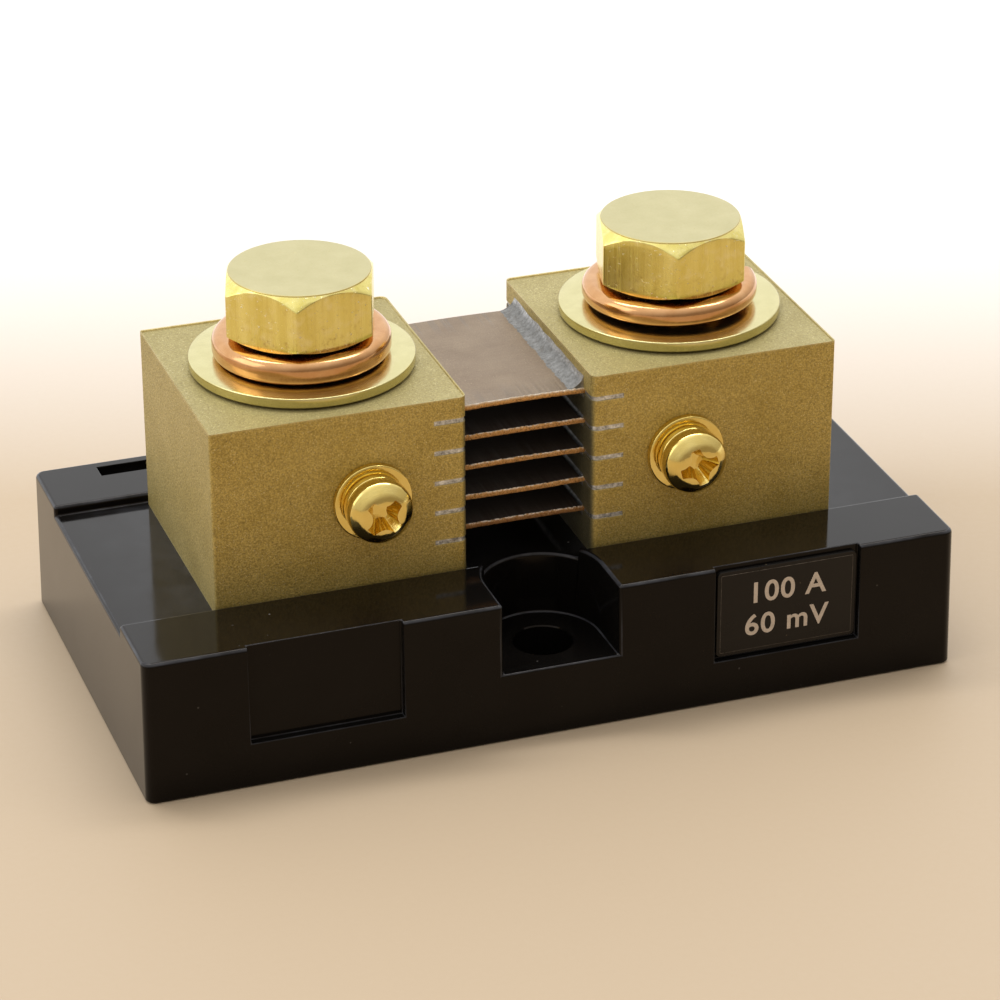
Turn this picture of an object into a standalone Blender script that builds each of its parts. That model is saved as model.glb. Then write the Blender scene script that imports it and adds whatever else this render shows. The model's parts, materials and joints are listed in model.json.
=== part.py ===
"""Battery monitor shunt: two brass terminal blocks joined by five resistor strips on a moulded base.

Frame: +X runs along the base's length, +Y towards its rear, +Z up.
The origin is at the centre of the base's underside. All lengths are in metres.
"""

import math

import bmesh
import bpy
from mathutils import Matrix, Vector

MM = 0.001
GAP = 0.3 * MM

# Base: a moulded slab whose sides widen slightly towards the underside.
BASE_LENGTH = 82.55 * MM
BASE_DEPTH = 43.6 * MM
BASE_HEIGHT = 14.8 * MM
BASE_DRAFT = 0.2 * MM
BASE_EDGE = 0.45 * MM

# The channel that locates the blocks, along the whole top.
CHANNEL_HALF_DEPTH = 13.0 * MM
CHANNEL_FLOOR = BASE_HEIGHT - 1.0 * MM

# A U-shaped mounting notch in the middle of each long side.
NOTCH_RADIUS = 5.9 * MM
NOTCH_CENTRE_Y = 16.45 * MM
NOTCH_FLOOR = 7.3 * MM
MOUNT_HOLE_RADIUS = 2.95 * MM

# Label recesses in the front face; only the right-hand one holds a label.
LABEL_INNER_X = 15.9 * MM
LABEL_OUTER_X = 31.15 * MM
LABEL_BOTTOM = 4.65 * MM
LABEL_RECESS_DEPTH = 0.7 * MM
LABEL_THICKNESS = 0.2 * MM

# Narrow moulded pockets in the top of the rear band.
POCKET_INNER_X = 11.0 * MM
POCKET_OUTER_X = 35.0 * MM
POCKET_FRONT_Y = 18.45 * MM
POCKET_BACK_Y = 20.5 * MM
POCKET_DEPTH = 6.0 * MM

# Terminal blocks: one-inch squares of brass, three quarters of an inch high.
BLOCK_SIZE = 25.4 * MM
BLOCK_SPACING = 12.7 * MM
BLOCK_TOP = 32.85 * MM
BLOCK_INNER_RADIUS = 1.0 * MM
BLOCK_OUTER_RADIUS = 0.25 * MM
BLOCK_CHAMFER = 0.2 * MM
BLOCK_INNER_X = BLOCK_SPACING / 2
BLOCK_CENTRE_X = BLOCK_INNER_X + BLOCK_SIZE / 2
BLOCK_FRONT = -BLOCK_SIZE / 2

# Resistor strips, soldered into saw slots in the blocks' inner faces.
STRIP_COUNT = 5
STRIP_PITCH = 3.175 * MM
LOWEST_STRIP = 17.75 * MM
STRIP_THICKNESS = 0.6 * MM
STRIP_WIDTH = 20.3 * MM
STRIP_CENTRE_Y = -0.35 * MM
SLOT_DEPTH = 3.3 * MM

# Terminal bolts: 3/8-16 x 5/8 inch hexagon head, one in the top of each block.
BOLT_SHIFT_X = 0.3 * MM
BOLT_Y = 0.3 * MM
BOLT_ACROSS_FLATS = 13.95 * MM
BOLT_HEAD_BOTTOM = 36.75 * MM
BOLT_HEAD_TOP = 42.7 * MM
BOLT_CHAMFER_RISE = 1.0 * MM
BOLT_CROWN_RADIUS = 6.85 * MM
BOLT_SHANK_RADIUS = 4.5 * MM
BOLT_TIP_CHAMFER = 0.6 * MM
BOLT_LENGTH = 15.875 * MM
BOLT_BORE_RADIUS = 5.0 * MM
BOLT_BORE_BOTTOM = 20.2 * MM
BOLT_TURN = {"left": math.radians(-108.5), "right": math.radians(-105.5)}

FLAT_WASHER_RADIUS = 11.0 * MM
FLAT_WASHER_BORE = 5.2 * MM
FLAT_WASHER_TOP = 33.9 * MM
WASHER_EASE = 0.15 * MM
LOCK_WASHER_RADIUS = 8.7 * MM
LOCK_WASHER_BORE = 5.1 * MM
LOCK_WASHER_SPLIT = 1.0 * MM
LOCK_WASHER_EASE = 0.5 * MM
LOCK_SPLIT_ANGLE = {"left": math.radians(100), "right": math.radians(-4)}

# Sense screws: 6-32 x 1/4 inch pan head, one in the front face of each block.
SENSE_X = 16.0 * MM
SENSE_Z = 23.55 * MM
SENSE_FLAT_RADIUS = 3.9 * MM
SENSE_FLAT_FRONT = BLOCK_FRONT - 0.8 * MM
SENSE_LOCK_RADIUS = 3.1 * MM
SENSE_LOCK_FRONT = BLOCK_FRONT - 1.8 * MM
SENSE_WASHER_BORE = 2.0 * MM
SENSE_HEAD_RADIUS = 3.2 * MM
SENSE_CROWN_RADIUS = 2.3 * MM
SENSE_CROWN_DROP = 0.8 * MM
SENSE_HEAD_FRONT = BLOCK_FRONT - 4.3 * MM
SENSE_HEAD_BACK = SENSE_LOCK_FRONT - GAP
SENSE_SHANK_RADIUS = 1.6 * MM
SENSE_SHANK_END = BLOCK_FRONT + 4.35 * MM
SENSE_BORE_RADIUS = 2.05 * MM
SENSE_BORE_END = BLOCK_FRONT + 5.1 * MM
SENSE_ROTATION = (-math.pi / 2, 0, 0)

# Block screws: two 8-32 pan heads under each block, sunk in the underside.
FIX_Y = 8.5 * MM
FIX_SINK_RADIUS = 5.2 * MM
FIX_SINK_DEPTH = 6.0 * MM
FIX_HOLE_RADIUS = 2.5 * MM
FIX_SHANK_RADIUS = 2.0 * MM
FIX_SHANK_TOP = 19.2 * MM
FIX_BORE_TOP = 19.8 * MM
FIX_WASHER_RADIUS = 3.7 * MM
FIX_WASHER_BOTTOM = FIX_SINK_DEPTH - 1.2 * MM
FIX_HEAD_RADIUS = 4.0 * MM
FIX_CROWN_RADIUS = 2.8 * MM
FIX_CROWN_DROP = 1.0 * MM
FIX_HEAD_TOP = FIX_WASHER_BOTTOM - GAP
FIX_HEAD_BOTTOM = FIX_HEAD_TOP - 2.5 * MM

SIDES = {"left": -1, "right": 1}
OVERCUT = 1.0 * MM

MATERIALS = {
    "black_plastic": ((0.012, 0.011, 0.011), 0.22, 0.0),
    "blasted_brass": ((0.42, 0.33, 0.13), 0.52, 1.0),
    "resistor_alloy": ((0.40, 0.30, 0.22), 0.45, 1.0),
    "bolt_brass": ((0.78, 0.64, 0.28), 0.25, 1.0),
    "washer_brass": ((0.80, 0.71, 0.38), 0.20, 1.0),
    "spring_bronze": ((0.77, 0.43, 0.25), 0.20, 1.0),
    "screw_brass": ((0.82, 0.60, 0.24), 0.15, 1.0),
    "label_black": ((0.015, 0.015, 0.015), 0.40, 0.0),
    "zinc_steel": ((0.58, 0.58, 0.57), 0.32, 1.0),
}


def clear_scene():
    for obj in list(bpy.data.objects):
        bpy.data.objects.remove(obj)


def make_material(name):
    colour, roughness, metallic = MATERIALS[name]
    material = bpy.data.materials.get(name)
    if material is None:
        material = bpy.data.materials.new(name)
        material.use_nodes = True
        shader = material.node_tree.nodes["Principled BSDF"]
        shader.inputs["Base Color"].default_value = (*colour, 1.0)
        shader.inputs["Roughness"].default_value = roughness
        shader.inputs["Metallic"].default_value = metallic
    return material


def add_object(name, mesh, material=None, smooth=False):
    obj = bpy.data.objects.new(name, mesh)
    bpy.context.collection.objects.link(obj)
    if material:
        mesh.materials.append(make_material(material))
    if smooth:
        mesh.shade_smooth()
        mesh.set_sharp_from_angle(angle=math.radians(30))
    return obj


def mesh_from_bmesh(name, bm):
    bmesh.ops.recalc_face_normals(bm, faces=bm.faces[:])
    mesh = bpy.data.meshes.new(name)
    bm.to_mesh(mesh)
    bm.free()
    return mesh


def box_mesh(name, low, high):
    """A box between two corners."""
    bm = bmesh.new()
    centre = (Vector(low) + Vector(high)) / 2
    size = Vector(high) - Vector(low)
    placing = Matrix.Translation(centre) @ Matrix.Diagonal((*size, 1.0))
    bmesh.ops.create_cube(bm, size=1.0, matrix=placing)
    return mesh_from_bmesh(name, bm)


def prism_mesh(name, outline, low_z, high_z):
    """An outline in the XY plane, extruded from one height to another."""
    bm = bmesh.new()
    floor = bm.faces.new([bm.verts.new((x, y, low_z)) for x, y in outline])
    made = bmesh.ops.extrude_face_region(bm, geom=[floor])
    top = [item for item in made["geom"] if isinstance(item, bmesh.types.BMVert)]
    bmesh.ops.translate(bm, verts=top, vec=(0, 0, high_z - low_z))
    return mesh_from_bmesh(name, bm)


def turned_mesh(name, profile, segments):
    """A closed profile of (radius, height) points, turned about the Z axis."""
    bm = bmesh.new()
    rings = []
    for radius, height in profile:
        if radius == 0:
            rings.append([bm.verts.new((0, 0, height))])
            continue
        angles = [2 * math.pi * step / segments for step in range(segments)]
        rings.append([bm.verts.new((radius * math.cos(a), radius * math.sin(a), height)) for a in angles])
    closed = profile[0][0] > 0
    pairs = list(zip(rings, rings[1:]))
    if closed:
        pairs.append((rings[-1], rings[0]))
    for ring, following in pairs:
        for step in range(segments):
            corners = [ring[step % len(ring)], ring[(step + 1) % len(ring)]]
            corners += [following[(step + 1) % len(following)], following[step % len(following)]]
            bm.faces.new(dict.fromkeys(corners))
    return mesh_from_bmesh(name, bm)


def arc(centre, radius, start, end, steps):
    """Points on an arc, both ends included; the angles are in degrees."""
    angles = [math.radians(start + (end - start) * step / steps) for step in range(steps + 1)]
    return [(centre[0] + radius * math.cos(a), centre[1] + radius * math.sin(a)) for a in angles]


def cut(target, cutter_mesh, name, location=(0, 0, 0), rotation=(0, 0, 0)):
    """Takes a cutter's shape out of a target with a live Boolean modifier."""
    cutter = add_object(name, cutter_mesh)
    cutter.location = location
    cutter.rotation_euler = rotation
    cutter.hide_render = True
    cutter.display_type = "WIRE"
    boolean = target.modifiers.new(name, "BOOLEAN")
    boolean.operation = "DIFFERENCE"
    boolean.solver = "EXACT"
    boolean.object = cutter
    return cutter


def cylinder_mesh(name, radius, low_z, high_z, segments):
    profile = [(0, low_z), (radius, low_z), (radius, high_z), (0, high_z)]
    return turned_mesh(name, profile, segments)


def bevel(obj, width, segments=1):
    """Eases the edges that are sharper than 40 degrees."""
    modifier = obj.modifiers.new("eased_edges", "BEVEL")
    modifier.width = width
    modifier.segments = segments
    modifier.limit_method = "ANGLE"
    modifier.angle_limit = math.radians(40)


def base_body():
    """The slab with its draft, before anything is cut out of it."""
    mesh = box_mesh("base", (-0.5, -0.5, 0), (0.5, 0.5, 1))
    for vertex in mesh.vertices:
        spread = 0 if vertex.co.z > 0.5 else 2 * BASE_DRAFT
        vertex.co.x *= BASE_LENGTH + spread
        vertex.co.y *= BASE_DEPTH + spread
        vertex.co.z *= BASE_HEIGHT
    base = add_object("base", mesh, "black_plastic")
    bevel(base, BASE_EDGE, 2)
    return base


def cut_channel(base):
    """The shallow channel along the top that locates both blocks."""
    half_length = BASE_LENGTH / 2 + OVERCUT
    low = (-half_length, -CHANNEL_HALF_DEPTH, CHANNEL_FLOOR)
    high = (half_length, CHANNEL_HALF_DEPTH, BASE_HEIGHT + OVERCUT)
    cut(base, box_mesh("channel", low, high), "cut_channel")


def cut_mounting_notch(base, name, half_turn):
    """A U-shaped notch in a long side with a vertical screw hole through its floor."""
    outside = -BASE_DEPTH / 2 - OVERCUT
    outline = [(-NOTCH_RADIUS, outside), (NOTCH_RADIUS, outside)]
    outline += arc((0, -NOTCH_CENTRE_Y), NOTCH_RADIUS, 0, 180, 20)
    notch = prism_mesh("notch", outline, NOTCH_FLOOR, BASE_HEIGHT + OVERCUT)
    cut(base, notch, f"cut_{name}_notch", rotation=(0, 0, half_turn))
    hole = cylinder_mesh("hole", MOUNT_HOLE_RADIUS, -OVERCUT, BASE_HEIGHT, 32)
    hole_y = -math.cos(half_turn) * NOTCH_CENTRE_Y
    cut(base, hole, f"cut_{name}_hole", location=(0, hole_y, 0))


def cut_label_recess(base, side):
    """A shallow recess in the front face, open at the top edge."""
    ends = sorted((SIDES[side] * LABEL_INNER_X, SIDES[side] * LABEL_OUTER_X))
    front = -BASE_DEPTH / 2
    low = (ends[0], front - OVERCUT, LABEL_BOTTOM)
    high = (ends[1], front + LABEL_RECESS_DEPTH, BASE_HEIGHT + OVERCUT)
    cut(base, box_mesh("label_recess", low, high), f"cut_{side}_label_recess")


def cut_rear_pocket(base, side):
    """A narrow moulded pocket in the top of the rear band."""
    ends = sorted((SIDES[side] * POCKET_INNER_X, SIDES[side] * POCKET_OUTER_X))
    low = (ends[0], POCKET_FRONT_Y, BASE_HEIGHT - POCKET_DEPTH)
    high = (ends[1], POCKET_BACK_Y, BASE_HEIGHT + OVERCUT)
    cut(base, box_mesh("rear_pocket", low, high), f"cut_{side}_rear_pocket")


def cut_fixing_hole(base, name, x, y):
    """A sunk clearance hole from the underside, for a block screw."""
    profile = [(0, -OVERCUT), (FIX_SINK_RADIUS, -OVERCUT), (FIX_SINK_RADIUS, FIX_SINK_DEPTH)]
    profile += [(FIX_HOLE_RADIUS, FIX_SINK_DEPTH)]
    profile += [(FIX_HOLE_RADIUS, BASE_HEIGHT + OVERCUT), (0, BASE_HEIGHT + OVERCUT)]
    cut(base, turned_mesh("fixing_hole", profile, 24), f"cut_{name}_sink", location=(x, y, 0))


def fixing_places(side):
    """The two block screws of one side: a name and a place for each."""
    x = SIDES[side] * BLOCK_CENTRE_X
    return [("front", x, -FIX_Y), ("rear", x, FIX_Y)]


def make_base():
    base = base_body()
    cut_channel(base)
    cut_mounting_notch(base, "front", 0)
    cut_mounting_notch(base, "rear", math.pi)
    for side in SIDES:
        cut_label_recess(base, side)
        cut_rear_pocket(base, side)
        for place, x, y in fixing_places(side):
            cut_fixing_hole(base, f"{side}_{place}", x, y)


def block_outline(side):
    """A square whose two inner corners are rounded more than the outer ones."""
    inner = BLOCK_INNER_X
    outer = BLOCK_INNER_X + BLOCK_SIZE
    half = BLOCK_SIZE / 2
    r_in = BLOCK_INNER_RADIUS
    r_out = BLOCK_OUTER_RADIUS
    outline = arc((outer - r_out, half - r_out), r_out, 0, 90, 3)
    outline += arc((inner + r_in, half - r_in), r_in, 90, 180, 5)
    outline += arc((inner + r_in, r_in - half), r_in, 180, 270, 5)
    outline += arc((outer - r_out, r_out - half), r_out, 270, 360, 3)
    return [(SIDES[side] * x, y) for x, y in outline]


def strip_height(index):
    return LOWEST_STRIP + index * STRIP_PITCH


def bolt_x(side):
    return SIDES[side] * BLOCK_CENTRE_X + BOLT_SHIFT_X


def sense_place(side):
    return (SIDES[side] * SENSE_X, 0, SENSE_Z)


def cut_slots(block, side):
    """Five saw slots across the inner face, open at the front and the rear."""
    reach = BLOCK_SIZE / 2 + OVERCUT
    ends = sorted((SIDES[side] * (BLOCK_INNER_X - OVERCUT), SIDES[side] * (BLOCK_INNER_X + SLOT_DEPTH)))
    half_height = STRIP_THICKNESS / 2 + GAP
    for index in range(STRIP_COUNT):
        height = strip_height(index)
        low = (ends[0], -reach, height - half_height)
        high = (ends[1], reach, height + half_height)
        cut(block, box_mesh("slot", low, high), f"cut_{side}_slot_{index + 1}")


def make_block(side):
    mesh = prism_mesh(f"{side}_block", block_outline(side), CHANNEL_FLOOR + GAP, BLOCK_TOP)
    block = add_object(f"{side}_block", mesh, "blasted_brass", smooth=True)
    bevel(block, BLOCK_CHAMFER)
    cut_slots(block, side)
    bore = cylinder_mesh("bolt_bore", BOLT_BORE_RADIUS, BOLT_BORE_BOTTOM, BLOCK_TOP + OVERCUT, 48)
    cut(block, bore, f"cut_{side}_bolt_bore", location=(bolt_x(side), BOLT_Y, 0))
    bore = cylinder_mesh("sense_bore", SENSE_BORE_RADIUS, BLOCK_FRONT - OVERCUT, SENSE_BORE_END, 24)
    cut(block, bore, f"cut_{side}_sense_bore", location=sense_place(side), rotation=SENSE_ROTATION)
    for where, x, y in fixing_places(side):
        bore = cylinder_mesh("fixing_bore", FIX_HOLE_RADIUS, CHANNEL_FLOOR - OVERCUT, FIX_BORE_TOP, 24)
        cut(block, bore, f"cut_{side}_{where}_fixing_bore", location=(x, y, 0))


def make_strips():
    half_length = BLOCK_INNER_X + SLOT_DEPTH - GAP
    front = STRIP_CENTRE_Y - STRIP_WIDTH / 2
    back = STRIP_CENTRE_Y + STRIP_WIDTH / 2
    for index in range(STRIP_COUNT):
        name = f"resistor_strip_{index + 1}"
        height = strip_height(index)
        low = (-half_length, front, height - STRIP_THICKNESS / 2)
        high = (half_length, back, height + STRIP_THICKNESS / 2)
        add_object(name, box_mesh(name, low, high), "resistor_alloy")


def combine(target, mesh, name, operation):
    """Joins or intersects a target with a shape that shares its origin."""
    helper = add_object(name, mesh)
    helper.parent = target
    helper.hide_render = True
    helper.display_type = "WIRE"
    boolean = target.modifiers.new(name, "BOOLEAN")
    boolean.operation = operation
    boolean.solver = "EXACT"
    boolean.object = helper


def crown_profile(corner, height):
    """A cylinder that takes in the hexagon's corners and is coned off at its top."""
    return [
        (0, -OVERCUT),
        (corner + OVERCUT, -OVERCUT),
        (corner + OVERCUT, 0),
        (corner, height - BOLT_CHAMFER_RISE),
        (BOLT_CROWN_RADIUS, height),
        (0, height),
    ]


def shank_profile():
    return [
        (0, -BOLT_LENGTH),
        (BOLT_SHANK_RADIUS - BOLT_TIP_CHAMFER, -BOLT_LENGTH),
        (BOLT_SHANK_RADIUS, BOLT_TIP_CHAMFER - BOLT_LENGTH),
        (BOLT_SHANK_RADIUS, OVERCUT),
        (0, OVERCUT),
    ]


def make_bolt(side):
    """A bolt whose origin is on its own axis, level with the underside of its head."""
    corner = BOLT_ACROSS_FLATS / math.sqrt(3)
    height = BOLT_HEAD_TOP - BOLT_HEAD_BOTTOM
    hexagon = [(corner * math.cos(k * math.pi / 3), corner * math.sin(k * math.pi / 3)) for k in range(6)]
    name = f"{side}_terminal_bolt"
    bolt = add_object(name, prism_mesh(name, hexagon, 0, height), "bolt_brass")
    bolt.location = (bolt_x(side), BOLT_Y, BOLT_HEAD_BOTTOM)
    bolt.rotation_euler = (0, 0, BOLT_TURN[side])
    crown = turned_mesh("crown", crown_profile(corner, height), 48)
    combine(bolt, crown, f"crown_{side}", "INTERSECT")
    combine(bolt, turned_mesh("shank", shank_profile(), 32), f"shank_{side}", "UNION")


def ring_mesh(name, outer, bore, low_z, high_z, ease, segments):
    """A washer whose outer rim has both of its edges eased."""
    profile = [
        (bore, low_z),
        (outer - ease, low_z),
        (outer, low_z + ease),
        (outer, high_z - ease),
        (outer - ease, high_z),
        (bore, high_z),
    ]
    return turned_mesh(name, profile, segments)


def make_flat_washer(side):
    low = BLOCK_TOP + GAP
    high = FLAT_WASHER_TOP
    name = f"{side}_terminal_flat_washer"
    ring = ring_mesh(name, FLAT_WASHER_RADIUS, FLAT_WASHER_BORE, low, high, WASHER_EASE, 64)
    washer = add_object(name, ring, "washer_brass", smooth=True)
    washer.location = (bolt_x(side), BOLT_Y, 0)


def make_lock_washer(side):
    """A split spring washer: a rounded ring with a narrow gap through one side."""
    low = FLAT_WASHER_TOP + GAP
    high = BOLT_HEAD_BOTTOM - GAP
    name = f"{side}_terminal_lock_washer"
    ring = ring_mesh(name, LOCK_WASHER_RADIUS, LOCK_WASHER_BORE, low, high, LOCK_WASHER_EASE, 48)
    washer = add_object(name, ring, "spring_bronze", smooth=True)
    washer.location = (bolt_x(side), BOLT_Y, 0)
    half_gap = LOCK_WASHER_SPLIT / 2
    corner_low = (LOCK_WASHER_BORE - OVERCUT, -half_gap, low - OVERCUT)
    corner_high = (LOCK_WASHER_RADIUS + OVERCUT, half_gap, high + OVERCUT)
    splitter = box_mesh("split", corner_low, corner_high)
    angle = (0, 0, LOCK_SPLIT_ANGLE[side])
    cut(washer, splitter, f"cut_{side}_lock_split", location=(bolt_x(side), BOLT_Y, 0), rotation=angle)


def place_on_sense_axis(side, name, mesh):
    """Adds a turned piece whose own Z axis runs inwards along the sense screw's axis."""
    piece = add_object(name, mesh, "screw_brass", smooth=True)
    piece.location = sense_place(side)
    piece.rotation_euler = SENSE_ROTATION


def make_sense_flat_washer(side):
    name = f"{side}_sense_flat_washer"
    back = BLOCK_FRONT - GAP
    ring = ring_mesh(
        name, SENSE_FLAT_RADIUS, SENSE_WASHER_BORE, SENSE_FLAT_FRONT, back, WASHER_EASE, 36
    )
    place_on_sense_axis(side, name, ring)


def make_sense_lock_washer(side):
    name = f"{side}_sense_lock_washer"
    back = SENSE_FLAT_FRONT - GAP
    ring = ring_mesh(
        name, SENSE_LOCK_RADIUS, SENSE_WASHER_BORE, SENSE_LOCK_FRONT, back, WASHER_EASE, 36
    )
    place_on_sense_axis(side, name, ring)


def make_sense_screw(side):
    """A pan head and its shank, from the head's front face inwards."""
    name = f"{side}_sense_screw"
    profile = [
        (0, SENSE_HEAD_FRONT),
        (SENSE_CROWN_RADIUS, SENSE_HEAD_FRONT),
        (SENSE_HEAD_RADIUS, SENSE_HEAD_FRONT + SENSE_CROWN_DROP),
        (SENSE_HEAD_RADIUS, SENSE_HEAD_BACK),
        (SENSE_SHANK_RADIUS, SENSE_HEAD_BACK),
        (SENSE_SHANK_RADIUS, SENSE_SHANK_END),
        (0, SENSE_SHANK_END),
    ]
    place_on_sense_axis(side, name, turned_mesh(name, profile, 36))


def block_screw_profile():
    """A pan head at the bottom and its shank, from the head's underside upwards."""
    return [
        (0, FIX_HEAD_BOTTOM),
        (FIX_CROWN_RADIUS, FIX_HEAD_BOTTOM),
        (FIX_HEAD_RADIUS, FIX_HEAD_BOTTOM + FIX_CROWN_DROP),
        (FIX_HEAD_RADIUS, FIX_HEAD_TOP),
        (FIX_SHANK_RADIUS, FIX_HEAD_TOP),
        (FIX_SHANK_RADIUS, FIX_SHANK_TOP),
        (0, FIX_SHANK_TOP),
    ]


def make_block_screws(side):
    """The sunk screws and lock washers that hold one block down on the base."""
    washer_top = FIX_SINK_DEPTH - GAP
    for where, x, y in fixing_places(side):
        name = f"{side}_{where}_block_screw"
        screw = turned_mesh(name, block_screw_profile(), 28)
        add_object(name, screw, "zinc_steel", smooth=True).location = (x, y, 0)
        name = f"{side}_{where}_block_washer"
        ring = ring_mesh(
            name, FIX_WASHER_RADIUS, FIX_HOLE_RADIUS, FIX_WASHER_BOTTOM, washer_top, WASHER_EASE, 28
        )
        add_object(name, ring, "zinc_steel", smooth=True).location = (x, y, 0)


def make_rating_label():
    """A thin plate in the right-hand recess of the front face."""
    back = -BASE_DEPTH / 2 + LABEL_RECESS_DEPTH - GAP
    low = (LABEL_INNER_X + GAP, back - LABEL_THICKNESS, LABEL_BOTTOM + GAP)
    high = (LABEL_OUTER_X - GAP, back, BASE_HEIGHT - 2 * GAP)
    add_object("rating_label", box_mesh("rating_label", low, high), "label_black")


def main():
    clear_scene()
    make_base()
    make_strips()
    make_rating_label()
    for side in SIDES:
        make_block(side)
        make_bolt(side)
        make_flat_washer(side)
        make_lock_washer(side)
        make_sense_flat_washer(side)
        make_sense_lock_washer(side)
        make_sense_screw(side)
        make_block_screws(side)


main()
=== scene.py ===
"""Battery monitor shunt: the visual model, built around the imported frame.

Shapes are worked out in millimetres and scaled to metres when a piece is made.
"""

import json
import math
from itertools import product

import bmesh
import bpy
from mathutils import Matrix, Vector, noise


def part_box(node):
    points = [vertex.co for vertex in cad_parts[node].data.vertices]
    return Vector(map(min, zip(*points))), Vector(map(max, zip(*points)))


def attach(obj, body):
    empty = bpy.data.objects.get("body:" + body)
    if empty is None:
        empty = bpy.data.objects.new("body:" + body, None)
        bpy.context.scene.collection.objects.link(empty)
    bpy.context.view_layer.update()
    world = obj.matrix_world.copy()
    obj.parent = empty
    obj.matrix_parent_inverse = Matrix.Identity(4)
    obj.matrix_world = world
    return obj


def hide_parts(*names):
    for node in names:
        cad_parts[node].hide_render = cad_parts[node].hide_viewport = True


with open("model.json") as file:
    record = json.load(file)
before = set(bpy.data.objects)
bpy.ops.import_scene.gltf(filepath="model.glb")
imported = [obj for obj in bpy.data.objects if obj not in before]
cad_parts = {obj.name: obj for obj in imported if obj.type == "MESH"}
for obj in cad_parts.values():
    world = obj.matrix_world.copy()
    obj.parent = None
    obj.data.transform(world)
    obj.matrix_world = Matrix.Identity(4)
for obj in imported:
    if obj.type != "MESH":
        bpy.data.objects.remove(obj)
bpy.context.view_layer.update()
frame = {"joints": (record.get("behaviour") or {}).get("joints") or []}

MM = 0.001
ROOT = "shunt_body"
SIDES = {"left": -1, "right": 1}


def mm_box(node):
    """A CAD node's lowest and highest corner, in millimetres."""
    low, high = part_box(node)
    return Vector(low) / MM, Vector(high) / MM


def mm_centre(node):
    low, high = mm_box(node)
    return (low + high) / 2


def mm_radius(node):
    """Half of a round CAD node's width."""
    low, high = mm_box(node)
    return (high.x - low.x) / 2


STRIPS = [f"resistor_strip_{k}" for k in range(1, 6)]
STRIP_HEIGHTS = [mm_centre(name).z for name in STRIPS]
INNER_X = mm_box("right_block")[0].x
HEAD_BOTTOM = mm_box("left_terminal_lock_washer")[1].z + 0.3


# ---------------------------------------------------------------- mesh tools

def rounded_path(corners, steps=4, closed=False):
    """Turns (a, b, radius) corners into a path whose corners are arcs."""
    path = []
    count = len(corners)
    for index, (a, b, radius) in enumerate(corners):
        point = Vector((a, b))
        at_end = not closed and index in (0, count - 1)
        if radius == 0 or at_end:
            path.append(tuple(point))
            continue
        before = (Vector(corners[index - 1][:2]) - point).normalized()
        after = (Vector(corners[(index + 1) % count][:2]) - point).normalized()
        half = before.angle(after) / 2
        centre = point + (before + after).normalized() * radius / math.sin(half)
        reach = radius / math.tan(half)
        start = point + before * reach - centre
        end = point + after * reach - centre
        sweep = math.atan2(start.x * end.y - start.y * end.x, start.dot(end))
        for step in range(steps + 1):
            turn = sweep * step / steps
            cos, sin = math.cos(turn), math.sin(turn)
            path.append((centre.x + start.x * cos - start.y * sin,
                         centre.y + start.x * sin + start.y * cos))
    return path


def skin(bm, rings, place=None, closed=False):
    """Joins rings of points with faces; a ring of one point is a tip.

    The last ring is joined to the first if closed, else the ends are capped.
    """
    place = place or Matrix()
    made = [[bm.verts.new(place @ Vector(point)) for point in ring] for ring in rings]
    for ring, following in zip(made, made[1:] + made[:closed]):
        for step in range(max(len(ring), len(following))):
            corners = [ring[step % len(ring)], ring[(step + 1) % len(ring)]]
            corners += [following[(step + 1) % len(following)], following[step % len(following)]]
            corners = list(dict.fromkeys(corners))
            if len(corners) > 2:
                bm.faces.new(corners)
    for ring in () if closed else (made[0], made[-1]):
        if len(ring) > 2:
            bm.faces.new(ring)
    return made


def skinned(rings, place=None, closed=False):
    bm = bmesh.new()
    skin(bm, rings, place, closed)
    return bm


def circle(radius, height, segments):
    turns = [2 * math.pi * k / segments for k in range(segments)]
    return [(radius * math.cos(t), radius * math.sin(t), height) for t in turns]


def lathed(path, segments, place=None, closed=False):
    """A path of (radius, height) points turned about Z."""
    rings = [circle(r, z, segments) if r > 0 else [(0, 0, z)] for r, z in path]
    return skinned(rings, place, closed)


def box_mesh(low, high):
    bm = bmesh.new()
    low, high = Vector(low), Vector(high)
    size = Matrix.Diagonal((*(high - low), 1))
    bmesh.ops.create_cube(bm, size=1, matrix=Matrix.Translation((low + high) / 2) @ size)
    return bm


def flush(bm):
    bmesh.ops.recalc_face_normals(bm, faces=bm.faces[:])
    return bm


def mesh_object(name, bm, finish=None, smooth_angle=None):
    """An object from a mesh in millimetres."""
    flush(bm)
    bmesh.ops.transform(bm, matrix=Matrix.Scale(MM, 4), verts=bm.verts[:])
    mesh = bpy.data.meshes.new(name)
    bm.to_mesh(mesh)
    bm.free()
    if finish:
        mesh.materials.append(FINISHES[finish])
    if smooth_angle:
        mesh.shade_smooth()
        mesh.set_sharp_from_angle(angle=math.radians(smooth_angle))
    return linked(name, mesh)


def linked(name, data):
    obj = bpy.data.objects.new(name, data)
    bpy.context.collection.objects.link(obj)
    return obj


def carve(obj, tools, operation="DIFFERENCE"):
    """Applies exact Booleans with meshes in millimetres to an object."""
    finish = obj.data.materials[0]
    tools = [mesh_object("tool", bm) for bm in tools]
    for tool in tools:
        if operation == "UNION":
            tool.data.materials.append(finish)
        modifier = obj.modifiers.new("carve", "BOOLEAN")
        modifier.operation = operation
        modifier.solver = "EXACT"
        modifier.object = tool
    bake_modifiers(obj)
    for tool in tools:
        bpy.data.objects.remove(tool)


def bake_modifiers(obj):
    obj.data = evaluated_mesh(obj)
    obj.modifiers.clear()


def evaluated_mesh(obj):
    bpy.context.view_layer.update()
    graph = bpy.context.evaluated_depsgraph_get()
    return bpy.data.meshes.new_from_object(obj.evaluated_get(graph))


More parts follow.
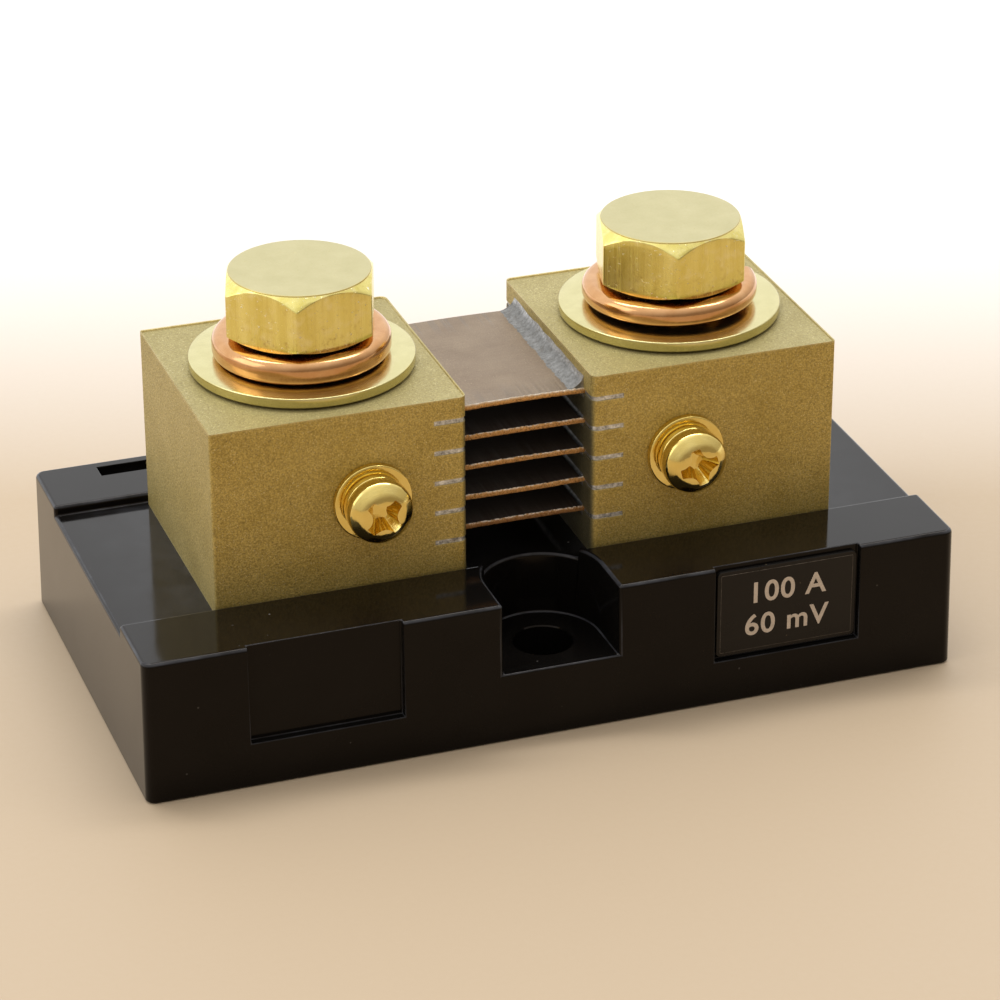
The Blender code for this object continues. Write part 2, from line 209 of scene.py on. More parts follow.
def smooth(obj, angle):
    """Smooth shading that keeps flat faces flat and edges over an angle sharp."""
    obj.data.shade_smooth()
    obj.data.set_sharp_from_angle(angle=math.radians(angle))
    weighted = obj.modifiers.new("weighted", "WEIGHTED_NORMAL")
    weighted.keep_sharp = True
    weighted.weight = 50
    bake_modifiers(obj)


def mark(obj, name, rule):
    """Stores a value from 0 to 1 for each vertex, by its place in millimetres and its normal."""
    values = obj.data.attributes.new(name, "FLOAT", "POINT").data
    for vertex, value in zip(obj.data.vertices, values):
        value.value = rule(vertex.co / MM, vertex.normal)


def near(value, target, reach=0.06):
    return abs(value - target) < reach


def upright(spot, turn=0.0):
    """The place of a piece that stands over a spot, turned by an angle in degrees."""
    return Matrix.Translation((spot.x, spot.y, 0)) @ Matrix.Rotation(math.radians(turn), 4, "Z")


def mount(obj, body, slot, *nodes):
    """Makes a piece ride on a body, in place of the CAD nodes named."""
    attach(obj, body)
    if nodes:
        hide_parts(*nodes)


def wobble(x, y, z, size, seed=0.0):
    """Smooth noise between -1 and 1 with features of about that size."""
    return noise.noise(Vector((x / size + seed, y / size - seed, z / size + seed * 0.5)))


# ---------------------------------------------------------------- materials

# The Mix node's sockets for colours.
MIX_A, MIX_B, MIX_RESULT = 6, 7, 2


class Nodes:
    """A shader node tree; a value may be a number, a colour or another node's output."""

    def __init__(self, tree):
        self.tree = tree

    def feed(self, socket, value):
        if isinstance(value, bpy.types.NodeSocket):
            self.tree.links.new(value, socket)
        elif isinstance(value, tuple) and len(value) == 3 and socket.type == "RGBA":
            socket.default_value = (*value, 1)
        elif value is not None:
            socket.default_value = value

    def node(self, kind, inputs, **settings):
        """A node with its settings, and its inputs by name or number."""
        made = self.tree.nodes.new("ShaderNode" + kind)
        for key, value in settings.items():
            setattr(made, key, value)
        for key, value in inputs.items():
            self.feed(made.inputs[key], value)
        return made

    def ramp(self, value, low=0.3, high=0.7, out_low=0.0, out_high=1.0):
        """Maps low..high onto out_low..out_high, clamped."""
        inputs = dict(enumerate((value, low, high, out_low, out_high)))
        return self.node("MapRange", inputs).outputs["Result"]

    def calculate(self, operation, first, *others):
        for other in others:
            first = self.node("Math", {0: first, 1: other}, operation=operation).outputs[0]
        return first

    def sum(self, *values):
        return self.calculate("ADD", *values)

    def less(self, a, b):
        return self.calculate("SUBTRACT", a, b)

    def times(self, *values):
        return self.calculate("MULTIPLY", *values)

    def along(self, vector, axis):
        """How far a vector reaches along an axis."""
        return self.node("VectorMath", {0: vector, 1: axis}, operation="DOT_PRODUCT").outputs["Value"]

    def mix(self, factor, a, b, blend="MIX"):
        inputs = {"Factor": factor, MIX_A: a, MIX_B: b}
        return self.node("Mix", inputs, data_type="RGBA", blend_type=blend).outputs[MIX_RESULT]

    def tint(self, colour, mask, share, other):
        """Another colour laid over by a share of a mask."""
        return self.mix(self.times(mask, share), colour, other)


class Finish(Nodes):
    """A material; lengths are in millimetres, and constants are the shader's own values."""

    def __init__(self, name, **constants):
        self.material = bpy.data.materials.new(name)
        self.material.use_nodes = True
        super().__init__(self.material.node_tree)
        self.shader = self.tree.nodes["Principled BSDF"]
        for key, value in constants.items():
            self.shader.inputs[key.replace("_", " ")].default_value = value
        self.space = self.node("TexCoord", {}).outputs["Object"]

    def put(self, colour, roughness, normal=None, metallic=None):
        for name, value in (("Base Color", colour), ("Roughness", roughness),
                            ("Normal", normal), ("Metallic", metallic)):
            self.feed(self.shader.inputs[name], value)
        return self.material

    def scaled(self, size):
        """Object coordinates with one unit per size, which may differ by axis."""
        sizes = size if isinstance(size, tuple) else (size,) * 3
        return self.node("Mapping", {"Vector": self.space, "Scale": [1 / (MM * s) for s in sizes]}).outputs[0]

    def noise(self, size, detail, rough, seed):
        """Noise with features of that size; each seed gives another pattern."""
        inputs = {"Vector": self.scaled(size), "W": seed, "Scale": 1.0, "Detail": detail, "Roughness": rough}
        return self.node("TexNoise", inputs, noise_dimensions="4D").outputs["Fac"]

    def spots(self, size, detail, rough, seed, low=0.3, high=0.7, out_low=0.0, out_high=1.0):
        """Noise between low and high, mapped onto out_low..out_high."""
        return self.ramp(self.noise(size, detail, rough, seed), low, high, out_low, out_high)

    def cells(self, size):
        """The distance to the nearest of points about that far apart."""
        return self.node("TexVoronoi", {"Vector": self.scaled(size), "Scale": 1.0}).outputs["Distance"]

    def relief(self, *layers):
        """Bumps over each other: heights from 0 to 1, each with its depth in millimetres."""
        normal = None
        for height, depth in layers:
            inputs = {"Strength": 1.0, "Distance": depth * MM, "Height": height, "Normal": normal}
            normal = self.node("Bump", inputs).outputs["Normal"]
        return normal

    def edges(self, radius, low, high):
        """1 on edges and corners, 0 on flat faces."""
        rounded = self.node("Bevel", {"Radius": radius * MM}, samples=4).outputs[0]
        straight = self.node("NewGeometry", {}).outputs["Normal"]
        return self.ramp(self.less(1.0, self.along(rounded, straight)), low, high)

    def facing(self, axis):
        """How far the surface faces along an object axis, from -1 to 1."""
        return self.along(self.node("TexCoord", {}).outputs["Normal"], axis)

    def attribute(self, name):
        return self.node("Attribute", {}, attribute_name=name).outputs["Fac"]

    def place(self, axis):
        """An object coordinate in millimetres."""
        return self.times(self.node("SeparateXYZ", {0: self.space}).outputs[axis], 1 / MM)


def plastic_finish():
    f = Finish("moulded_black", IOR=1.5, Specular_Tint=(0.25, 0.21, 0.175, 1))
    smudge = f.noise(9.0, 3, 0.6, 1.0)
    fine = f.noise(0.35, 4, 0.7, 2.0)
    scratch = f.spots((7.0, 0.12, 0.5), 2, 0.6, 3.0, 0.70, 0.78)
    rough = f.sum(f.ramp(smudge, 0.35, 0.75, 0.045, 0.13), f.times(fine, 0.03))
    rough = f.sum(rough, f.times(scratch, 0.10))
    upward = f.ramp(f.facing((0, 0, 1)), 0.6, 0.95)
    side = f.ramp(upward, 0.0, 1.0, 0.05, 0.0)
    below = f.ramp(f.facing((0, 0, -1)), 0.6, 0.95, 0.0, 0.30)
    rough = f.sum(rough, side, below)
    specks = f.ramp(f.cells(2.6), 0.045, 0.03)
    keep = f.spots(6.0, 1, 0.5, 7.0, 0.45, 0.52)
    dust = f.times(specks, keep, f.sum(f.times(upward, 0.75), 0.25))
    colour = f.mix(f.ramp(smudge, 0.3, 0.8), (0.0035, 0.0030, 0.0026), (0.006, 0.0052, 0.0045))
    colour = f.tint(colour, dust, 0.6, (0.30, 0.28, 0.25))
    # Painted highlight: a paler grey laid in broken spots on the fillets that turn upwards and round the
    # recesses.
    fillet_highlight = f.times(f.attribute("fillet"), f.spots(3.5, 3, 0.6, 8.0, 0.30, 0.65, 0.15, 1.0))
    colour = f.mix(fillet_highlight, colour, (0.052, 0.054, 0.061))
    relief = f.relief((f.noise(3.2, 1, 0.4, 4.0), 0.004), (f.noise(0.16, 2, 0.5, 5.0), 0.0006))
    return f.put(colour=colour, roughness=f.sum(rough, f.times(dust, 0.5)), normal=relief)


def blasted_finish():
    f = Finish("blasted_brass", Metallic=0.55)
    coarse = f.noise(0.26, 3, 0.65, 1.0)
    fine = f.noise(0.11, 2, 0.6, 2.0)
    patches = f.noise(5.0, 4, 0.6, 3.0)
    pits = f.ramp(f.cells(0.42), 0.05, 0.40)
    # Painted light and shade: the top and left faces take a paler, duller tone than the front faces, set by
    # which way each face turns.
    golden = f.mix(f.ramp(patches, 0.35, 0.65), (0.52, 0.375, 0.095), (0.60, 0.445, 0.135))
    painted_lit_tone = f.mix(f.ramp(patches, 0.35, 0.65), (0.345, 0.295, 0.128), (0.392, 0.340, 0.158))
    upward = f.ramp(f.facing((0, 0, 1)), 0.5, 0.95)
    leftward = f.ramp(f.facing((-1, 0, 0)), 0.5, 0.95)
    colour = f.mix(f.sum(f.times(upward, 0.9), f.times(leftward, 0.50)), golden, painted_lit_tone)
    speckle = f.spots(0.17, 3, 0.7, 9.0, 0.36, 0.64)
    speckled = f.mix(speckle, f.mix(1.0, colour, (0.60, 0.58, 0.50), "MULTIPLY"),
                     f.mix(1.0, colour, (1.16, 1.16, 1.14), "MULTIPLY"))
    colour = f.mix(f.times(upward, 0.4), speckled, colour)
    dark = f.ramp(coarse, 0.42, 0.30, 0.0, 0.60)
    colour = f.mix(dark, colour, (0.16, 0.12, 0.055))
    # Paler edges: partly real wear, partly a painted highlight along the block's edges.
    wear_and_highlight = f.edges(0.35, 0.02, 0.25)
    wear_and_highlight = f.times(wear_and_highlight, f.spots(0.8, 3, 0.6, 4.0, 0.3, 0.6, 0.35, 1.0))
    colour = f.tint(colour, wear_and_highlight, 0.55, (0.72, 0.62, 0.33))
    glint = f.spots(0.13, 1, 0.5, 6.0, 0.62, 0.72)
    colour = f.tint(colour, glint, 0.45, (0.95, 0.84, 0.48))
    # Painted shade: the inner faces between the strips, inside the narrow gaps, are darkened.
    inward = f.ramp(f.calculate("ABSOLUTE", f.place(0), None), INNER_X + 0.45, INNER_X + 0.05)
    inward = f.times(inward, f.ramp(f.place(2), STRIP_HEIGHTS[-1] + 0.3, STRIP_HEIGHTS[-1] - 0.3))
    colour = f.tint(colour, inward, 0.80, (0.060, 0.058, 0.040))
    rough = f.sum(f.ramp(coarse, 0.3, 0.7, 0.60, 0.48), f.times(glint, -0.26))
    rough = f.sum(rough, f.times(wear_and_highlight, -0.16))
    relief = f.relief((coarse, 0.062), (pits, 0.010), (fine, 0.020))
    return f.put(colour=colour, roughness=rough, normal=relief)


def bolt_finish():
    f = Finish("bolt_brass", Metallic=1.0)
    upward = f.ramp(f.facing((0, 0, 1)), 0.80, 0.97)
    streaks = f.noise((0.22, 0.22, 12.0), 4, 0.65, 1.0)
    broad = f.noise((1.3, 1.3, 14.0), 2, 0.5, 2.0)
    satin = f.noise(0.12, 2, 0.5, 3.0)
    tone = f.ramp(broad)
    flats = f.mix(tone, (0.77, 0.645, 0.175), (0.91, 0.80, 0.29))
    flats = f.mix(f.spots(1.1, 3, 0.6, 7.0, 0.52, 0.68, 0.0, 0.55), flats, (0.92, 0.82, 0.42))
    crown = f.mix(f.spots(2.5, 3, 0.5, 4.0), (0.505, 0.455, 0.235), (0.56, 0.505, 0.275))
    marks = f.spots((0.30, 1.1, 0.5), 4, 0.7, 8.0, 0.70, 0.74, 0.0, 0.55)
    crown = f.mix(marks, crown, (0.24, 0.19, 0.08))
    colour = f.mix(upward, flats, crown)
    stains = f.spots(0.8, 4, 0.7, 5.0, 0.54, 0.66)
    low = f.ramp(f.place(2), HEAD_BOTTOM + 3.0, HEAD_BOTTOM, 0.25, 1.0)
    stains = f.times(stains, low, f.less(1.0, upward))
    colour = f.tint(colour, stains, 0.65, (0.36, 0.22, 0.06))
    sides = f.less(1.0, f.ramp(f.facing((0, 0, 1)), 0.10, 0.35))
    colour = f.mix(f.times(f.ramp(streaks, 0.52, 0.30), f.times(sides, 0.32)), colour, (0.52, 0.38, 0.09))
    nicks = f.spots((0.42, 0.42, 0.26), 3, 0.6, 6.0, 0.64, 0.70)
    colour = f.mix(f.times(nicks, f.less(1.0, upward)), colour, (0.94, 0.88, 0.66))
    edge = f.edges(0.22, 0.01, 0.12)
    colour = f.tint(colour, edge, 0.35, (0.92, 0.84, 0.56))
    colour = f.mix(f.times(f.attribute("rim"), 0.65), colour, (0.42, 0.31, 0.09))
    rough = f.sum(f.ramp(streaks, 0.3, 0.7, 0.17, 0.30), f.times(upward, 0.14))
    rough = f.sum(rough, f.times(nicks, 0.15))
    relief = f.relief((f.times(sides, streaks), 0.008), (satin, 0.0018), (nicks, 0.012))
    return f.put(colour=colour, roughness=rough, normal=relief)


def polished_finish(name, colour_low, colour_high, roughness, relief_depth, tarnish):
    """Polished copper alloy with faint blotches, fine scuffs and edges tinted paler as a painted highlight.
    """
    f = Finish(name, Metallic=1.0)
    blotch = f.noise(1.8, 4, 0.6, 1.0)
    colour = f.mix(f.ramp(blotch), colour_low, colour_high)
    spots = f.spots(0.5, 4, 0.7, 2.0, 0.66, 0.76)
    colour = f.mix(f.times(spots, 0.5), colour, tarnish)
    scuffs = f.noise((0.9, 0.10, 0.5), 3, 0.6, 3.0)
    rough = f.sum(f.ramp(scuffs, 0.35, 0.75, roughness * 0.75, roughness * 1.35),
                  f.times(spots, 0.15))
    # Painted highlight: a paler tint along the edges.
    lip = f.edges(0.05, 0.02, 0.2)
    colour = f.tint(colour, lip, 0.6, (0.97, 0.90, 0.68))
    relief = f.relief((f.noise(1.3, 2, 0.5, 4.0), relief_depth), (scuffs, relief_depth * 0.25))
    return f.put(colour=colour, roughness=rough, normal=relief)


def strip_finish():
    f = Finish("resistor_alloy")
    mottled = f.noise(3.0, 4, 0.6, 1.0)
    grain = f.noise(0.14, 2, 0.6, 2.0)
    rolled = f.noise((4.0, 0.10, 0.3), 3, 0.6, 3.0)
    face = f.mix(f.ramp(mottled), (0.26, 0.195, 0.135), (0.335, 0.26, 0.18))
    face = f.mix(f.ramp(grain, 0.35, 0.70, 0.35, 0.0), face, (0.13, 0.09, 0.065))
    face = f.mix(f.ramp(grain, 0.66, 0.76, 0.0, 0.5), face, (0.62, 0.52, 0.42))
    shaded = f.ramp(f.place(2), STRIP_HEIGHTS[-1] + 0.1, STRIP_HEIGHTS[-1] - 0.1)
    face = f.tint(face, shaded, 0.85, (0.050, 0.034, 0.026))
    cut = f.mix(f.spots(0.35, 3, 0.6, 4.0), (0.56, 0.29, 0.09), (0.78, 0.46, 0.17))
    cut = f.mix(f.ramp(f.place(2), STRIP_HEIGHTS[1], STRIP_HEIGHTS[0], 0.0, 0.55), cut, (0.20, 0.08, 0.035))
    cut = f.mix(f.spots(0.16, 3, 0.7, 7.0, 0.50, 0.38, 0.0, 0.7), cut, (0.14, 0.055, 0.022))
    cut = f.mix(f.spots(0.21, 2, 0.6, 8.0, 0.60, 0.70, 0.0, 0.7), cut, (0.80, 0.55, 0.28))
    burr = f.attribute("burr")
    colour = f.mix(f.attribute("cut"), face, cut)
    # The burr's pale colour is partly bare sawn metal and partly a painted highlight: it runs all along the
    # top strip's burr and only in spots on the lower strips, and its metallic is lowered so it shows bright.
    burr_metal_and_highlight = f.mix(shaded, (1.0, 1.0, 1.0), f.spots(0.26, 2, 0.6, 6.0, 0.46, 0.56))
    colour = f.mix(f.times(burr, burr_metal_and_highlight), colour, (0.92, 0.82, 0.68))
    rough = f.sum(f.ramp(rolled, 0.3, 0.7, 0.42, 0.52), f.times(burr, -0.18))
    rough = f.sum(rough, f.times(shaded, 0.35))
    relief = f.relief((grain, 0.010), (rolled, 0.001))
    metallic = f.less(f.less(1.0, f.times(burr, 0.6)), f.times(f.attribute("cut"), 0.3))
    return f.put(colour=colour, roughness=rough, normal=relief, metallic=metallic)


def solder_finish():
    f = Finish("solder", Metallic=0.85)
    lumps = f.noise(0.45, 4, 0.7, 1.0)
    pits = f.ramp(f.cells(0.3), 0.10, 0.35)
    colour = f.mix(f.ramp(lumps, 0.35, 0.66), (0.30, 0.295, 0.29), (0.88, 0.87, 0.86))
    colour = f.mix(f.ramp(pits, 0.0, 1.0, 0.35, 0.0), colour, (0.16, 0.15, 0.14))
    glint = f.spots(0.16, 2, 0.6, 5.0, 0.60, 0.70)
    colour = f.tint(colour, glint, 0.7, (0.90, 0.89, 0.87))
    flux = f.spots(1.2, 3, 0.6, 2.0, 0.55, 0.70)
    colour = f.tint(colour, flux, 0.45, (0.30, 0.24, 0.17))
    # Painted shade: the solder between the blocks is darkened, and darkest below the top strip, inside the
    # gaps between strips.
    inner = f.ramp(f.place(0), -INNER_X - 0.3, -INNER_X + 0.3)
    inner = f.times(inner, f.ramp(f.place(0), INNER_X + 0.3, INNER_X - 0.3))
    low = f.ramp(f.place(2), STRIP_HEIGHTS[-1] + 0.1, STRIP_HEIGHTS[-1] - 0.2)
    colour = f.tint(colour, inner, 0.80, (0.095, 0.092, 0.080))
    colour = f.mix(f.times(inner, low, 0.70), colour, (0.05, 0.058, 0.062))
    rough = f.ramp(lumps, 0.3, 0.7, 0.55, 0.34)
    return f.put(colour=colour, roughness=rough, normal=f.relief((lumps, 0.035), (pits, 0.02)))


def label_finish():
    f = Finish("label_film", IOR=1.5, Specular_Tint=(0.45, 0.40, 0.36, 1))
    weave = f.noise(0.09, 2, 0.6, 1.0)
    blotch = f.noise(2.5, 3, 0.5, 2.0)
    colour = f.mix(blotch, (0.005, 0.0045, 0.004), (0.010, 0.009, 0.008))
    lit = f.times(f.attribute("film_edge"), f.spots(0.5, 3, 0.6, 3.0, 0.35, 0.6, 0.3, 1.0))
    colour = f.mix(lit, colour, (0.19, 0.16, 0.13))
    specks = f.times(f.ramp(f.cells(0.9), 0.10, 0.06), f.spots(2.0, 1, 0.5, 5.0, 0.55, 0.6))
    colour = f.tint(colour, specks, 0.5, (0.20, 0.15, 0.09))
    rough = f.ramp(blotch, 0.3, 0.7, 0.26, 0.38)
    return f.put(colour=colour, roughness=rough, normal=f.relief((weave, 0.002)))


def ink_finish():
    f = Finish("label_ink")
    patch = f.noise(0.35, 3, 0.6, 1.0)
    return f.put(colour=f.mix(f.ramp(patch, 0.3, 0.75), (0.60, 0.50, 0.41), (0.48, 0.40, 0.32)),
                 roughness=f.ramp(patch, 0.3, 0.7, 0.42, 0.6), normal=f.relief((patch, 0.004)))


def zinc_finish():
    f = Finish("zinc_plate", Metallic=1.0)
    cloud = f.noise(0.8, 4, 0.6, 1.0)
    colour = f.mix(f.ramp(cloud), (0.42, 0.42, 0.43), (0.62, 0.62, 0.61))
    return f.put(colour=colour, roughness=f.ramp(cloud, 0.3, 0.7, 0.38, 0.24),
                 normal=f.relief((f.noise(0.12, 2, 0.6, 2.0), 0.003)))


def floor_finish():
    f = Finish("pale_floor")
    back = f.ramp(f.along(f.space, (0.33, 0.94, 0.0)), 0.03, 0.15)
    colour = f.mix(back, (0.49, 0.375, 0.25), (0.98, 0.98, 0.98))
    return f.put(colour=colour, roughness=f.spots(0.8, 3, 0.5, 1.0, 0.3, 0.7, 0.5, 0.6))


FINISHES = {
    "plastic": plastic_finish(),
    "block": blasted_finish(),
    "bolt": bolt_finish(),
    "washer": polished_finish("washer_brass", (0.62, 0.56, 0.27), (0.68, 0.62, 0.32), 0.20, 0.006,
                              (0.50, 0.36, 0.14)),
    "bronze": polished_finish("spring_bronze", (0.565, 0.285, 0.115), (0.675, 0.385, 0.18), 0.16, 0.014,
                              (0.42, 0.20, 0.12)),
    "screw": polished_finish("screw_brass", (0.75, 0.555, 0.15), (0.83, 0.655, 0.23), 0.12, 0.035,
                             (0.50, 0.28, 0.08)),
    "strip": strip_finish(),
    "solder": solder_finish(),
    "label": label_finish(),
    "ink": ink_finish(),
    "zinc": zinc_finish(),
}


# ---------------------------------------------------------------- base

BASE_HIGH = mm_box("base")[1]
BASE_TOP = BASE_HIGH.z
ABOVE = BASE_TOP + 1
DRAFT = 0.2
CORNER_FILLET = 0.95
BASE_FILLET = 0.42
FOOT_FILLET = 0.25
FLOOR_FILLET = 0.22
RECESS_TOP_FILLET = 0.14
RECESS_FILLET = 0.13
POCKET_FILLET = 0.12
CHANNEL_HALF = 13.0
CHANNEL_FLOOR = BASE_TOP - 1.0
NOTCH_RADIUS = 5.9
NOTCH_CENTRE_Y = 16.45
NOTCH_FLOOR = 7.3
HOLE_RADIUS, HOLE_CHAMFER, HOLE_LIP = 2.95, 0.35, 0.12
RECESS_INNER, RECESS_OUTER = 15.9, 31.15
RECESS_BOTTOM = 4.65
RECESS_BACK = mm_box("rating_label")[1].y + 0.3
POCKET = ((11.0, 18.45), (35.0, 20.5))
POCKET_DEPTH = 6.0
SINK_RADIUS, SINK_DEPTH, SINK_HOLE, SINK_CHAMFER = 5.2, 6.0, 2.5, 0.3


def base_slab():
    """The base's outside, whose sides lean in towards the top by their draft."""
    half_x, half_y = BASE_HIGH.x - DRAFT, BASE_HIGH.y - DRAFT
    bm = box_mesh((-half_x, -half_y, 0), (half_x, half_y, BASE_TOP))
    for vertex in bm.verts:
        if vertex.co.z < 1:
            vertex.co.x += math.copysign(DRAFT, vertex.co.x)
            vertex.co.y += math.copysign(DRAFT, vertex.co.y)
    return mesh_object("moulded_base", bm, "plastic")


def notch_tool(sign):
    edge = -BASE_HIGH.y - 1
    turns = [math.radians(180 * k / 32) for k in range(33)]
    arc = [(NOTCH_RADIUS * math.cos(t), -NOTCH_CENTRE_Y + NOTCH_RADIUS * math.sin(t)) for t in turns]
    outline = [(NOTCH_RADIUS, edge)] + arc + [(-NOTCH_RADIUS, edge)]
    return skinned([[(x * sign, y * sign, z) for x, y in outline] for z in (NOTCH_FLOOR, ABOVE)])


def slot_tool(low, high):
    """A box between two opposite corners."""
    return box_mesh(*([pick(pair) for pair in zip(low, high)] for pick in (min, max)))


def corner_fillet(x, y, z):
    """The fillet of the slab's upright corners; 0 for its other edges."""
    return CORNER_FILLET if 1 < z < BASE_TOP - 1 else 0


def body_fillet(x, y, z):
    """The fillet of the slab's, the channel's and the notches' edge round a point."""
    if z < 0.05:
        return FOOT_FILLET
    if near(z, NOTCH_FLOOR) or near(z, CHANNEL_FLOOR) and near(abs(y), CHANNEL_HALF):
        return FLOOR_FILLET
    return BASE_FILLET


def recess_fillet(x, y, z):
    """The fillet of an edge of the label recesses or the pockets; 0 for any other edge."""
    if POCKET[0][1] - 0.1 < y < POCKET[1][1] + 0.1 and near(z, BASE_TOP):
        return POCKET_FILLET if POCKET[0][0] - 0.1 < abs(x) < POCKET[1][0] + 0.1 else 0
    if y > RECESS_BACK + 0.05 or not RECESS_INNER - 0.1 < abs(x) < RECESS_OUTER + 0.1:
        return 0
    if near(y, RECESS_BACK) and near(z, BASE_TOP):
        return RECESS_TOP_FILLET
    on_wall = near(abs(x), RECESS_INNER) or near(abs(x), RECESS_OUTER) or near(z, RECESS_BOTTOM)
    return RECESS_FILLET if on_wall or near(y, RECESS_BACK) else 0


def fillet_edges(obj, width_at, segments):
    """Rounds the sharp edges by the width that a rule gives at their middles."""
    bm = bmesh.new()
    bm.from_mesh(obj.data)
    bmesh.ops.remove_doubles(bm, verts=bm.verts[:], dist=0.002 * MM)
    bmesh.ops.dissolve_limit(bm, angle_limit=math.radians(0.5), verts=bm.verts[:], edges=bm.edges[:])
    layers = bm.edges.layers.float
    layer = layers.get("bevel_weight_edge") or layers.new("bevel_weight_edge")
    for edge in bm.edges:
        edge[layer] = 0
        if len(edge.link_faces) == 2 and edge.calc_face_angle() > math.radians(30):
            middle = (edge.verts[0].co + edge.verts[1].co) / 2 / MM
            edge[layer] = width_at(*middle) / CORNER_FILLET
    bm.to_mesh(obj.data)
    bm.free()
    bevel = obj.modifiers.new("fillets", "BEVEL")
    bevel.limit_method = "WEIGHT"
    bevel.width = CORNER_FILLET * MM
    bevel.segments = segments
    bevel.use_clamp_overlap = False
    bake_modifiers(obj)


def close_slivers(obj):
    """Fills the hairline gaps that a Boolean leaves where fillets of two sizes meet."""
    bm = bmesh.new()
    bm.from_mesh(obj.data)
    gaps = [edge for edge in bm.edges if len(edge.link_faces) == 1]
    filled = bmesh.ops.holes_fill(bm, edges=gaps, sides=0)["faces"]
    bmesh.ops.triangulate(bm, faces=filled)
    bmesh.ops.remove_doubles(bm, verts=bm.verts[:], dist=0.0005 * MM)
    bmesh.ops.dissolve_degenerate(bm, edges=bm.edges[:], dist=0.0005 * MM)
    flush(bm).to_mesh(obj.data)
    bm.free()


def fillet_highlight_share(spot, normal):
    """How much painted highlight the plastic gets: on the fillets that turn upwards and round the recesses.
    """
    x, y, z = spot
    beside = RECESS_INNER - 0.2 < abs(x) < RECESS_OUTER + 0.2 and y < RECESS_BACK + 0.1
    if beside and RECESS_BOTTOM - 0.2 < z < BASE_TOP - 0.5 and max(abs(c) for c in normal) < 0.97:
        return 0.8
    in_hole = math.hypot(x, abs(y) - NOTCH_CENTRE_Y) < HOLE_RADIUS + 0.4
    return 1.0 if 0.50 < normal.z < 0.95 and z > 1 and not in_hole else 0.0


def make_base():
    base = base_slab()
    fillet_edges(base, corner_fillet, 6)
    end = BASE_HIGH.x + 1
    channel = slot_tool((-end, -CHANNEL_HALF, CHANNEL_FLOOR), (end, CHANNEL_HALF, ABOVE))
    carve(base, [channel, notch_tool(1), notch_tool(-1)])
    fillet_edges(base, body_fillet, 5)
    tools = []
    for sign in SIDES.values():
        tools.append(slot_tool((sign * RECESS_INNER, RECESS_BACK - 3, RECESS_BOTTOM),
                               (sign * RECESS_OUTER, RECESS_BACK, ABOVE)))
        (x0, y0), (x1, y1) = POCKET
        tools.append(slot_tool((sign * x0, y0, BASE_TOP - POCKET_DEPTH), (sign * x1, y1, ABOVE)))
    carve(base, tools)
    fillet_edges(base, recess_fillet, 2)
    wide, lip = HOLE_RADIUS + HOLE_CHAMFER, HOLE_RADIUS + HOLE_LIP
    hole = [(0, -1), (wide, -1), (wide, 0), (HOLE_RADIUS, HOLE_CHAMFER),
            (HOLE_RADIUS, NOTCH_FLOOR - HOLE_LIP), (lip, NOTCH_FLOOR), (lip, NOTCH_FLOOR + 1),
            (0, NOTCH_FLOOR + 1)]
    tools = [lathed(hole, 48, Matrix.Translation((0, y, 0))) for y in (NOTCH_CENTRE_Y, -NOTCH_CENTRE_Y)]
    wide = SINK_RADIUS + SINK_CHAMFER
    sink = [(0, -1), (wide, -1), (wide, 0), (SINK_RADIUS, SINK_CHAMFER), (SINK_RADIUS, SINK_DEPTH),
            (SINK_HOLE, SINK_DEPTH), (SINK_HOLE, ABOVE), (0, ABOVE)]
    for stem in ("left_front", "left_rear", "right_front", "right_rear"):
        tools.append(lathed(sink, 40, upright(mm_centre(stem + "_block_screw"))))
    carve(base, tools)
    close_slivers(base)
    smooth(base, 32)
    mark(base, "fillet", fillet_highlight_share)
    mount(base, ROOT, "black_plastic", "base")


# ---------------------------------------------------------------- threads

# A thread is the radius of its root and of its crest, and its pitch.
BOLT_THREAD, BOLT_HOLE_THREAD = (3.95, 4.72, 1.5875), (4.80, 5.25, 1.5875)
SENSE_THREAD, SENSE_HOLE_THREAD = (1.33, 1.72, 0.79375), (1.78, 2.0, 0.79375)
BLOCK_SCREW_THREAD = (1.6, 2.05, 0.79375)
THREAD_FLAT = 0.12
TIP_TAPER = 0.15


def thread_rings(low, high, thread, segments, ease=0.0):
    """Rings of points on a thread with flats at crest and root, which tapers to its tip over an ease."""
    minor, major, pitch = thread
    rows = math.ceil((high - low) / (pitch / 10))
    rings = []
    for row in range(rows + 1):
        height = low + (high - low) * row / rows
        ring = []
        for k in range(segments):
            turn = 2 * math.pi * k / segments
            phase = (height / pitch - turn / (2 * math.pi)) % 1.0
            ridge = (1 - abs(2 * phase - 1) - THREAD_FLAT) / (1 - 2 * THREAD_FLAT)
            radius = minor + (major - minor) * min(max(ridge, 0), 1)
            if ease:
                radius = min(radius, minor - TIP_TAPER + (height - low) * (major - minor + TIP_TAPER) / ease)
            ring.append((radius * math.cos(turn), radius * math.sin(turn), height))
        rings.append(ring)
    return rings


def tapping_tool(low, high, thread, segments, place, mouth):
    """A threaded rod with a flared mouth, which cuts a tapped hole."""
    lip = [circle(mouth, z, segments) for z in (high + 0.001, high + 1.5)]
    return skinned(thread_rings(low, high, thread, segments) + lip, place)


# ---------------------------------------------------------------- blocks and strips

